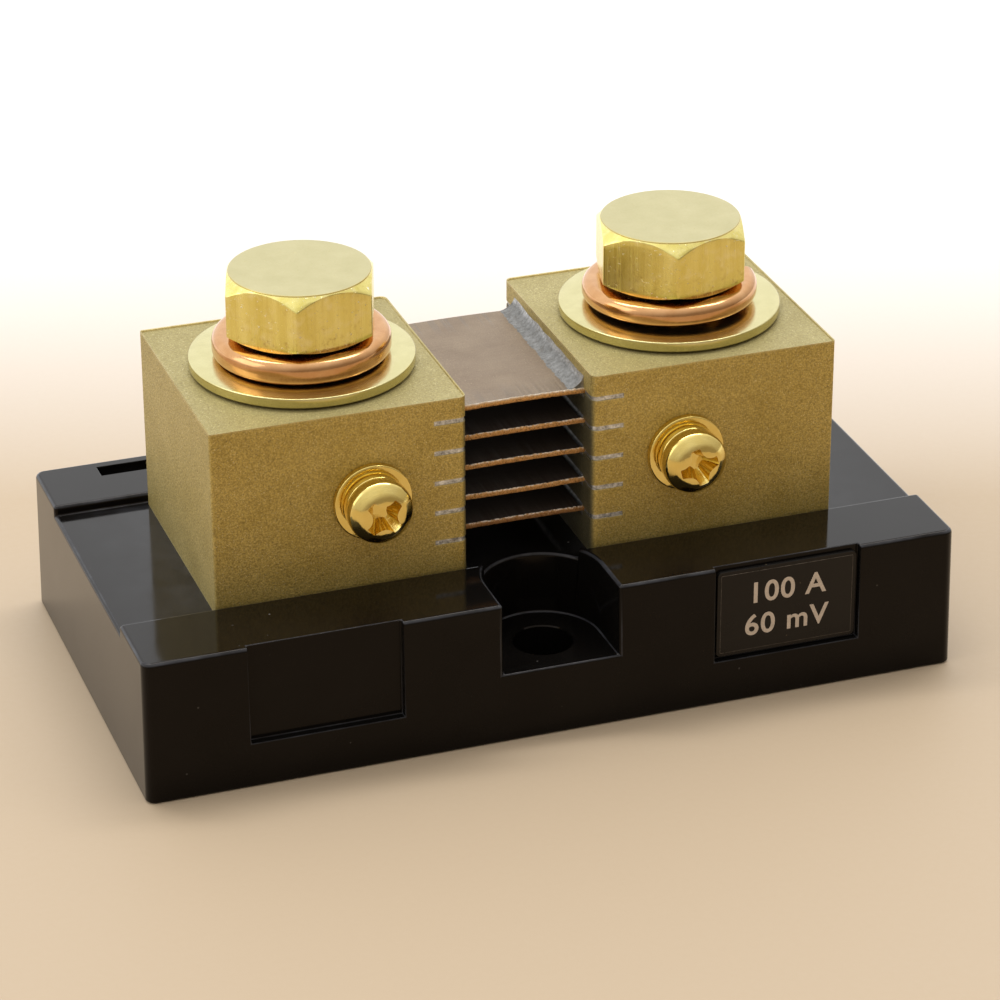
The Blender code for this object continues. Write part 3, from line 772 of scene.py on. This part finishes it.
BLOCK_HIGH = mm_box("right_block")[1]
BLOCK_TOP = BLOCK_HIGH.z
FRONT, REAR = (corner.y for corner in mm_box("right_block"))
STRIP_FRONT, STRIP_REAR = (corner.y for corner in mm_box("resistor_strip_5"))
INNER_RADIUS, OUTER_RADIUS = 0.72, 0.28
BLOCK_FILLET = 0.16
SLOT_END = mm_box("resistor_strip_5")[1].x + 0.3
SLOT_HALF = 0.24
STRIP_HALF = 0.25
STRIP_STEPS = 260
BOWS = (0.05, -0.06, 0.08, 0.04, 0.10)
BURRS = (0.06, 0.07, 0.07, 0.07, 0.10)
BOLT_HOLE_BOTTOM, BOLT_HOLE_MOUTH = 20.2, 5.35
SENSE_HOLE_DEPTH, SENSE_HOLE_MOUTH = 5.1, 2.1
BLOCK_SCREW_HOLE = ((0, 10), (2.2, 10), (2.2, 19.8), (0, 20.8))
HEAVY_BEAD, LIGHT_BEAD = (1.75, 1.25), (0.30, 0.25)
# The solder's roughness along X, Y and Z: the size of its lumps, their seed and their height.
SOLDER_LUMPS = ((0.4, 0, 0.04), (0.35, 9, 0.06), (0.35, 17, 0.03))


def bolt_axis(side):
    return mm_centre(f"{side}_terminal_flat_washer")


def sense_place(side):
    """The sense screw's axis as a place, whose Z points out of the block's front."""
    centre = mm_centre("right_sense_screw")
    return Matrix.Translation((SIDES[side] * centre.x, 0, centre.z)) @ Matrix.Rotation(math.pi / 2, 4, "X")


def block_outline(sign, inset):
    """The block's outline, shrunk by an inset; the inner corners are rounder."""
    low_x, high_x = INNER_X + inset, BLOCK_HIGH.x - inset
    low_y, high_y = FRONT + inset, REAR - inset
    corners = [(low_x, low_y, INNER_RADIUS), (high_x, low_y, OUTER_RADIUS),
               (high_x, high_y, OUTER_RADIUS), (low_x, high_y, INNER_RADIUS)]
    path = rounded_path([(x, y, max(r - inset, 0.03)) for x, y, r in corners], 8, closed=True)
    return [(sign * x, y) for x, y in path]


def block_mesh(sign):
    rows = []
    for k in range(4):
        turn = math.pi / 2 * k / 3
        rows.append((BLOCK_FILLET * (1 - math.sin(turn)), BLOCK_FILLET * (1 - math.cos(turn))))
    bottom = CHANNEL_FLOOR + 0.02
    levels = [(bottom + rise, inset) for rise, inset in rows]
    levels += [(BLOCK_TOP - rise, inset) for rise, inset in reversed(rows)]
    return skinned([[(x, y, height) for x, y in block_outline(sign, BLOCK_FILLET - inset)]
                    for height, inset in levels])


def make_block(side):
    sign = SIDES[side]
    block = mesh_object(f"{side}_terminal_block", block_mesh(sign), "block")
    tools = [slot_tool((sign * (INNER_X - 1), FRONT - 1, height - SLOT_HALF),
                       (sign * SLOT_END, REAR + 1, height + SLOT_HALF)) for height in STRIP_HEIGHTS]
    tools.append(tapping_tool(BOLT_HOLE_BOTTOM, BLOCK_TOP - 0.7, BOLT_HOLE_THREAD, 48,
                              upright(bolt_axis(side)), BOLT_HOLE_MOUTH))
    tools.append(tapping_tool(-FRONT - SENSE_HOLE_DEPTH, -FRONT - 0.3, SENSE_HOLE_THREAD, 24,
                              sense_place(side), SENSE_HOLE_MOUTH))
    for where in ("front", "rear"):
        tools.append(lathed(BLOCK_SCREW_HOLE, 32, upright(mm_centre(f"{side}_{where}_block_screw"))))
    carve(block, tools)
    smooth(block, 32)
    mount(block, ROOT, "blasted_brass", f"{side}_block")


def strip_section(burr):
    """(y, z, cut, burr) round a strip's edge: the front one carries the saw's burr."""
    half, front, back = STRIP_HALF, STRIP_FRONT, STRIP_REAR
    return [
        (back - 0.10, half, 0, 0), (back, half - 0.10, 1, 0), (back, -half + 0.08, 1, 0),
        (back - 0.08, -half, 0, 0), (back - 4, -half, 0, 0), (0, -half, 0, 0), (front + 4, -half, 0, 0),
        (front + 0.30, -half, 0, 0), (front + 0.07, -half + 0.02, 1, 0), (front, -half + 0.10, 1, 0),
        (front - 0.03, 0, 1, 0), (front - 0.02, half - 0.14, 1, 0), (front - 0.03, half - 0.02, 1, 0.3),
        (front + 0.03, half + burr, 1, 1), (front + 0.14, half + burr * 0.5, 0, 1),
        (front + 0.28, half, 0, 0.0), (front + 4, half, 0, 0), (0, half, 0, 0), (back - 4, half, 0, 0),
    ]


def make_strip(index):
    """A sawn strip, a little bowed, with a ragged front edge."""
    height = STRIP_HEIGHTS[index]
    section = strip_section(BURRS[index])
    half = SLOT_END - 0.15
    rings = []
    for k in range(STRIP_STEPS + 1):
        x = -half + 2 * half * k / STRIP_STEPS
        arch = BOWS[index] * max(0, 1 - (x / INNER_X) ** 2)
        ring = []
        for y, z, cut, burr in section:
            rag_y = rag_z = 0
            if cut or burr:
                rag_y = 0.045 * wobble(x, y, height, 0.5, 3.1) + 0.03 * wobble(x, z, height, 0.18, 1.7)
                rag_z = 0.022 * wobble(x, y, z, 0.3, 5.3)
            if burr:
                rag_z += burr * 0.06 * wobble(x, 0, height, 0.30, 8.2 + index)
                rag_z += burr * 0.06 * wobble(x, 2, height, 0.13, 4.6 + index)
            ring.append((x, y + rag_y, height + arch + z + rag_z))
        rings.append(ring)
    bm = bmesh.new()
    cut_layer, burr_layer = (bm.verts.layers.float.new(name) for name in ("cut", "burr"))
    for ring in skin(bm, rings):
        for vertex, (y, z, cut, burr) in zip(ring, section):
            vertex[cut_layer], vertex[burr_layer] = cut, burr
    strip = mesh_object(f"strip_{index + 1}", bm, "strip", 40)
    mount(strip, ROOT, "resistor_alloy", STRIPS[index])


def inside_corner(point, sign):
    """Pulls a point behind the block's rounded front and rear inner corners."""
    radius, sink = INNER_RADIUS, 0.08
    centre = Vector((sign * (INNER_X + radius), math.copysign(REAR - radius, point.y)))
    away = Vector((point.x, point.y)) - centre
    if away.x * sign < 0 and away.y * point.y > 0 and away.length > radius - sink:
        away = away.normalized() * (radius - sink)
        return Vector((centre.x + away.x, centre.y + away.y, point.z))
    return point


def lumpy_bar(bm, low, high, seed, sign):
    """A solder filling between two corners, with rough faces."""
    low, high = Vector(low), Vector(high)
    span = high - low
    counts = [max(2, math.ceil(length / 0.15)) for length in span]
    grid = {}
    for spot in product(*(range(count + 1) for count in counts)):
        if any(at in (0, count) for at, count in zip(spot, counts)):
            point = Vector([low[axis] + span[axis] * spot[axis] / counts[axis] for axis in range(3)])
            shift = Vector([wobble(*point, size, seed + more) * rise for size, more, rise in SOLDER_LUMPS])
            grid[spot] = bm.verts.new(inside_corner(point, sign) + shift)
    for across, u, v in ((2, 0, 1), (1, 0, 2), (0, 1, 2)):
        for a, b, end in product(range(counts[u]), range(counts[v]), (0, counts[across])):
            corners = []
            for at_u, at_v in ((a, b), (a + 1, b), (a + 1, b + 1), (a, b + 1)):
                spot = {across: end, u: at_u, v: at_v}
                corners.append(grid[spot[0], spot[1], spot[2]])
            bm.faces.new(corners)


def solder_fillet(bm, sign, height, flip, width, rise, seed):
    """A concave bead in the corner of a strip's face and a block's; flip is -1 below a strip."""
    face = height + flip * 0.27
    start, end = STRIP_FRONT + 0.15, STRIP_REAR - 0.1
    steps = 110
    rings = []
    for k in range(steps + 1):
        y = start + (end - start) * k / steps
        ragged = width * (1 + 0.16 * wobble(y, 0, height, 1.9, seed)
                          + 0.14 * wobble(y, 0, height, 0.5, seed + 4))
        tall = rise * (1 + 0.18 * wobble(y, 3, height, 2.4, seed + 7))
        ring = []
        for step in range(9):
            share = step / 8
            out = ragged * (1 - share) ** 1.5
            up = tall * share ** 1.7
            lump = 0.025 * min(1, 6 * share * (1 - share) + 0.2)
            out += lump * wobble(out * 2, y, up * 2, 0.3, seed + 2)
            up += lump * wobble(out, y * 1.3, up, 0.26, seed + 5)
            ring.append((sign * (INNER_X - out), y, face + flip * max(up, -0.1)))
        for out, up in ((-0.25, tall), (-0.25, -0.12), (ragged * 0.9, -0.12)):
            ring.append((sign * (INNER_X - out), y, face + flip * up))
        rings.append(ring)
    skin(bm, rings)


def make_solder(side):
    sign = SIDES[side]
    bm = bmesh.new()
    near_x, far_x = sorted((sign * (INNER_X + 0.12), sign * (SLOT_END - 0.02)))
    for index, height in enumerate(STRIP_HEIGHTS):
        for face_y, inward in ((FRONT, 1), (REAR, -1)):
            low_y, high_y = sorted((face_y + inward * 0.06, face_y + inward * 2.9))
            lumpy_bar(bm, (near_x, low_y, height - SLOT_HALF - 0.03),
                      (far_x, high_y, height + SLOT_HALF + 0.03), 11.0 * index + sign, sign)
        width, rise = HEAVY_BEAD if side == "right" and index == 4 else LIGHT_BEAD
        solder_fillet(bm, sign, height, 1, width, rise, 3.0 * index + 20 * sign)
        solder_fillet(bm, sign, height, -1, 0.35, 0.55 if side == "right" else 0.2, 5.0 * index - 20 * sign)
    mount(mesh_object(f"{side}_solder", bm, "solder", 60), ROOT, "resistor_alloy")


# ---------------------------------------------------------------- washers and bolts

BOLT_WASHER_BORE, LOCK_BORE = 5.2, 5.1
LOCK_SHAPES = {
    "left": {"thick": 2.36, "rise": 0.33, "start": math.radians(100)},
    "right": {"thick": 2.03, "rise": 0.66, "start": math.radians(-4)},
}
HEX_HALF = 6.975
HEX_CORNER = 0.28
CROWN_RADIUS = 6.92
CROWN_DROP = 0.13
CHAMFER_SLOPE, UNDER_SLOPE = 1.02, 0.58
HEAD_SINK = 0.14
BOLT_TURN = {"left": -108.5, "right": -105.5}
# Where the head's columns stand, in sixths of a turn from each of the hexagon's corners.
BESIDE_CORNER = (0.009, 0.018, 0.03, 0.05, 0.09, 0.16, 0.24, 0.33, 0.42)
COLUMNS = (-0.5, *(-share for share in reversed(BESIDE_CORNER)), 0, *BESIDE_CORNER)


def ring_path(inner, outer, low, high, fillets, steps):
    """A ring's section; its fillets go from the inner lower corner by the outer ones to the inner upper."""
    corners = zip((inner, outer, outer, inner), (low, low, high, high), fillets)
    return rounded_path(list(corners), steps, closed=True)


def make_flat_washer(side):
    node = f"{side}_terminal_flat_washer"
    path = ring_path(BOLT_WASHER_BORE, mm_radius(node), BLOCK_TOP + 0.01, mm_box(node)[1].z,
                     (0.15, 0.22, 0.10, 0.15), 5)
    bm = lathed(path, 160, upright(bolt_axis(side)), closed=True)
    washer = mesh_object(f"{side}_flat_washer", bm, "washer", 30)
    mount(washer, f"{side}_terminal_washers", "washer_brass", node)


def spring_mesh(path, low, rise, start, gap, steps, place):
    """A (radius, height) section swept round a ring that climbs and stays open by a gap."""
    rings = []
    for k in range(steps + 1):
        share = k / steps
        turn = start + gap / 2 + (2 * math.pi - gap) * share
        rings.append([(r * math.cos(turn), r * math.sin(turn), low + rise * share + z) for r, z in path])
    return skinned(rings, place)


def make_lock_washer(side):
    node = f"{side}_terminal_lock_washer"
    shape = LOCK_SHAPES[side]
    path = ring_path(LOCK_BORE, mm_radius(node), 0, shape["thick"], (0.25, 0.70, 0.95, 0.3), 8)
    floor = mm_box(f"{side}_terminal_flat_washer")[1].z + 0.01
    place = upright(bolt_axis(side))
    bm = spring_mesh(path, floor, shape["rise"], shape["start"], math.radians(7), 160, place)
    washer = mesh_object(f"{side}_lock_washer", bm, "bronze", 40)
    mount(washer, f"{side}_terminal_washers", "spring_bronze", node)


def hex_radius(turn):
    """The distance from the axis to a hexagon with rounded corners."""
    third = math.pi / 3
    local = (turn + third / 2) % third - third / 2
    centre = (HEX_HALF - HEX_CORNER) / math.cos(third / 2)
    limit = math.atan2(HEX_CORNER * 0.5, centre + HEX_CORNER * math.cos(third / 2))
    if abs(local) < limit:
        across = centre * math.sin(local)
        return centre * math.cos(local) + math.sqrt(HEX_CORNER ** 2 - across ** 2)
    return HEX_HALF / math.cos(third / 2 - abs(local))


def head_column(radius, bottom, top):
    """(radius, height) down a hexagon head: crown, cone, flat and lower chamfer."""
    edge = top - CROWN_DROP
    cone = edge - max(radius - CROWN_RADIUS, 0.02) * CHAMFER_SLOPE
    under = bottom + 0.03 + (radius - HEX_HALF) * UNDER_SLOPE
    column = [(r, top) for r in (1.2, 2.4, 3.6, 4.8, 5.9, 6.5, CROWN_RADIUS - 0.12)]
    column += [(CROWN_RADIUS - 0.05, top - 0.015), (CROWN_RADIUS - 0.01, top - 0.06), (CROWN_RADIUS, edge)]
    for share in (0.25, 0.6, 0.93):
        column.append((CROWN_RADIUS + share * (radius - CROWN_RADIUS), edge + share * (cone - edge)))
    column += [(radius - 0.015, cone - 0.02), (radius, cone - 0.07)]
    column += [(radius, z) for z in (cone - 0.6, (cone + under) / 2, under + 0.5, under + 0.07)]
    column += [(radius - 0.02, under + 0.01), (radius - 0.08, under - 0.03)]
    return column + [(6.72, bottom + 0.015), (6.62, bottom), (5.5, bottom), (BOLT_THREAD[0], bottom)]


def make_bolt(side):
    low, high = mm_box(f"{side}_terminal_bolt")
    axis = bolt_axis(side)
    joint = next(j for j in frame["joints"] if j["name"] == f"{side}_terminal_bolt_turn")
    bottom = joint["pos_m"][2] / MM - HEAD_SINK
    place = upright(axis, BOLT_TURN[side])
    turns = [(corner + share) * math.pi / 3 for corner in range(6) for share in COLUMNS]
    columns = [head_column(hex_radius(turn), bottom, high.z) for turn in turns]
    rings = [[(0, 0, high.z)]]
    for row in zip(*columns):
        rings.append([(r * math.cos(turn), r * math.sin(turn), z) for turn, (r, z) in zip(turns, row)])
    head = mesh_object(f"{side}_bolt", skinned(rings, place), "bolt", 24)
    shank = thread_rings(low.z, bottom + 0.3, BOLT_THREAD, 72, 0.9)
    carve(head, [skinned(shank, place)], "UNION")
    smooth(head, 24)

    def on_rim(spot, normal):
        reach = math.hypot(spot.x - axis.x, spot.y - axis.y)
        return 1.0 if near(reach, CROWN_RADIUS - 0.02, 0.05) and spot.z > high.z - 0.1 else 0.0

    mark(head, "rim", on_rim)
    mount(head, f"{side}_terminal_bolt", "bolt_brass", f"{side}_terminal_bolt")


# ---------------------------------------------------------------- pan-head screws

SENSE_BORE, SENSE_LOCK_BORE = 1.95, 1.9
BLOCK_LOCK_BORE, BLOCK_LOCK_RADIUS, BLOCK_LOCK_THICK = 2.5, 3.7, 0.95
BLOCK_SCREW_RADIUS = 4.0
SENSE_TURN = {"left": math.radians(44), "right": math.radians(15)}
# The cross recess from its floor to above the head: height in depths, size and waist of its arms.
CROSS_LEVELS = ((-1.0, 0.42, 0.20), (-0.7, 0.66, 0.28), (0, 1.0, 0.39))
CROSS_TOP = (1.0, 1.3, 0.50)


def cross_outline(reach, half, waist):
    """A cross recess seen from above: four arms with round lands between them."""
    middle = waist / math.sqrt(2)
    pull = 2 * middle - 0.5 * (reach + half)
    points = [(reach, -half * 0.6), (reach, half * 0.6)]
    for step in range(9):
        t = step / 8
        a, b, c = (1 - t) ** 2, 2 * t * (1 - t), t * t
        points.append((a * reach * 0.97 + b * pull + c * half, a * half + b * pull + c * reach * 0.97))
    turns = [Matrix.Rotation(math.pi / 2 * arm, 2) for arm in range(4)]
    return [tuple(turn @ Vector(p)) for turn in turns for p in points]


def cross_tool(place, radius, depth):
    """A tapered tool for a cross recess in a head of that radius."""
    levels = [(share * depth, size, waist) for share, size, waist in CROSS_LEVELS] + [CROSS_TOP]
    rings = []
    for height, size, waist in levels:
        outline = cross_outline(radius * 0.64 * size, radius * 0.16 * size, radius * waist)
        rings.append([(x, y, height) for x, y in outline])
    return skinned(rings, place)


def pan_screw(name, place, radius, height, shank_length, thread, finish, turn):
    """A cross-recessed pan head on a threaded shank; the shank points along -Z of the place."""
    corners = [(0, height, 0), (radius * 0.62, height, radius * 0.55), (radius, height * 0.52, height * 0.30),
               (radius, 0.0, 0.10), (thread[1], 0.0, 0.0)]
    head = mesh_object(name, lathed(rounded_path(corners, 8), 72, place), finish)
    carve(head, [skinned(thread_rings(-shank_length, 0.15, thread, 40, 0.5), place)], "UNION")
    spun = place @ Matrix.Translation((0, 0, height + 0.01)) @ Matrix.Rotation(turn, 4, "Z")
    carve(head, [cross_tool(spun, radius, height * 0.72)])
    smooth(head, 28)
    return head


def make_sense_set(side):
    washers = f"{side}_sense_washers"
    nodes = [f"{side}_sense_{kind}" for kind in ("flat_washer", "lock_washer", "screw")]
    outward = sense_place(side)
    flat_face, lock_face, tip = (-mm_box(node)[0].y for node in nodes)
    flat_radius, lock_radius, radius = (mm_radius(node) for node in nodes)
    path = ring_path(SENSE_BORE, flat_radius, -FRONT + 0.01, flat_face, (0.1, 0.12, 0.16, 0.1), 4)
    washer = mesh_object(f"{side}_small_flat_washer", lathed(path, 96, outward, closed=True), "screw", 30)
    mount(washer, washers, "screw_brass", nodes[0])

    head_back = lock_face + 0.12
    path = ring_path(SENSE_LOCK_BORE, lock_radius, 0, head_back - flat_face - 0.2, (0.1, 0.22, 0.25, 0.1), 5)
    bm = spring_mesh(path, flat_face + 0.01, 0.16, math.radians(-60), math.radians(14), 90, outward)
    mount(mesh_object(f"{side}_small_lock_washer", bm, "screw", 40), washers, "screw_brass", nodes[1])

    place = outward @ Matrix.Translation((0, 0, head_back))
    length = head_back + mm_box(nodes[2])[1].y
    screw = pan_screw(f"{side}_pan_screw", place, radius, tip - head_back, length, SENSE_THREAD, "screw",
                      SENSE_TURN[side])
    mount(screw, f"{side}_sense_screw", "screw_brass", nodes[2])


def make_block_screws(side):
    for number, where in enumerate(("front", "rear")):
        stem = f"{side}_{where}_block"
        low, high = mm_box(stem + "_screw")
        down = upright(mm_centre(stem + "_screw")) @ Matrix.Rotation(math.pi, 4, "X")
        seat = -SINK_DEPTH + 0.02
        path = ring_path(BLOCK_LOCK_BORE, BLOCK_LOCK_RADIUS, 0, BLOCK_LOCK_THICK, (0.1, 0.2, 0.25, 0.1), 5)
        bm = spring_mesh(path, seat, 0.25, number + 0.7, math.radians(14), 72, down)
        mount(mesh_object(stem + "_spring", bm, "zinc", 40), ROOT, "zinc_steel", stem + "_washer")
        back = seat + 1.22
        place = down @ Matrix.Translation((0, 0, back))
        screw = pan_screw(stem + "_pan", place, BLOCK_SCREW_RADIUS, -low.z - back, high.z + back,
                          BLOCK_SCREW_THREAD, "zinc", 0.4 + 0.9 * number)
        mount(screw, ROOT, "zinc_steel", stem + "_screw")


# ---------------------------------------------------------------- label

LABEL_RADIUS = 0.5
RATING = (("100 A", 1.75), ("60 mV", -1.75))


def make_label():
    low, high = mm_box("rating_label")
    centre = (low + high) / 2
    front = low.y + 0.05
    rings = []
    for y, inset in ((RECESS_BACK + 0.01, 0.0), (front + 0.08, 0.0), (front + 0.05, 0.03),
                     (front + 0.045, 0.36), (front + 0.01, 0.37), (front, 0.42)):
        x0, x1, z0, z1 = low.x + inset, high.x - inset, low.z + inset, high.z - inset
        corners = [(x, z, LABEL_RADIUS - inset) for x, z in ((x0, z0), (x1, z0), (x1, z1), (x0, z1))]
        rings.append([(x, y, z) for x, z in rounded_path(corners, 6, closed=True)])
    label = mesh_object("rating_plate", skinned(rings), "label", 30)
    mark(label, "film_edge", lambda spot, normal: 1.0 if near(spot.y, front + 0.01, 0.004) else 0.0)
    mount(label, ROOT, "label_black", "rating_label")
    for number, (words, rise) in enumerate(RATING):
        curve = bpy.data.curves.new("figures", "FONT")
        curve.body = words
        curve.size = 3.15 * MM
        curve.align_x = curve.align_y = "CENTER"
        curve.space_character = 1.08
        curve.extrude = 0.012 * MM
        curve.offset = 0.05 * MM
        curve.resolution_u = 6
        text = linked("figures", curve)
        mesh = evaluated_mesh(text)
        bpy.data.objects.remove(text)
        mesh.transform(Matrix.Translation((centre.x * MM, (front - 0.005) * MM, (centre.z + rise) * MM))
                       @ Matrix.Rotation(math.pi / 2, 4, "X"))
        figures = bmesh.new()
        figures.from_mesh(mesh)
        bmesh.ops.remove_doubles(figures, verts=figures.verts[:], dist=0.001 * MM)
        flush(figures).to_mesh(mesh)
        figures.free()
        mesh.materials.clear()
        mesh.materials.append(FINISHES["ink"])
        mount(linked(f"rating_figures_{number + 1}", mesh), ROOT, "label_black")


# ---------------------------------------------------------------- stage

LIT_SPOT = (0, 0, 0.02)
FLOOR_HALF = 30.0
SKY_TOWARDS = (-0.25, 0.72, 0.65)
SKY_DIM, SKY_BRIGHT = (0.36, 0.305, 0.24, 1), (1.28, 1.29, 1.31, 1)
CAMERA_PLACE = (-0.11405, -0.33182, 0.19036)
CAMERA_TURN = (63.418, 0.211, -19.284)


def area_light(name, place, size, power):
    light = bpy.data.lights.new(name, "AREA")
    light.shape = "RECTANGLE"
    light.size, light.size_y = size
    light.energy = power
    obj = linked(name, light)
    obj.location = place
    obj.rotation_euler = (Vector(LIT_SPOT) - Vector(place)).to_track_quat("-Z", "Y").to_euler()


def make_stage():
    mesh = bpy.data.meshes.new("floor")
    corners = [(x * FLOOR_HALF, y * FLOOR_HALF, 0) for x, y in ((-1, -1), (1, -1), (1, 1), (-1, 1))]
    mesh.from_pydata(corners, [], [(0, 1, 2, 3)])
    mesh.materials.append(floor_finish())
    floor = linked("floor", mesh)
    floor.location.z = -0.00002
    make_sky()
    area_light("top_striplight", (0.06, 0.20, 0.75), (0.95, 0.14), 3.2)
    area_light("left_softbox", (-0.70, 0.05, 0.40), (0.5, 0.5), 0.9)


def make_sky():
    """Soft studio surroundings: bright behind and above, dimmer and warmer in front."""
    world = bpy.data.worlds.new("studio")
    bpy.context.scene.world = world
    world.use_nodes = True
    n = Nodes(world.node_tree)
    reach = n.along(n.node("TexCoord", {}).outputs["Generated"], SKY_TOWARDS)
    colour = n.mix(n.ramp(reach, -0.45, 0.6), SKY_DIM, SKY_BRIGHT)
    n.feed(n.tree.nodes["Background"].inputs["Color"], colour)


def make_camera():
    camera = bpy.data.cameras.new("camera")
    camera.lens = 140.98
    camera.sensor_width = 36.0
    camera.clip_start = 0.01
    camera.clip_end = 100.0
    obj = linked("camera", camera)
    obj.location = CAMERA_PLACE
    obj.rotation_euler = [math.radians(angle) for angle in CAMERA_TURN]
    bpy.context.scene.camera = obj


bpy.context.scene.view_settings.view_transform = "Standard"
make_base()
for index in range(len(STRIPS)):
    make_strip(index)
for side in SIDES:
    make_block(side)
    make_solder(side)
    make_flat_washer(side)
    make_lock_washer(side)
    make_bolt(side)
    make_sense_set(side)
    make_block_screws(side)
make_label()
make_stage()
make_camera()
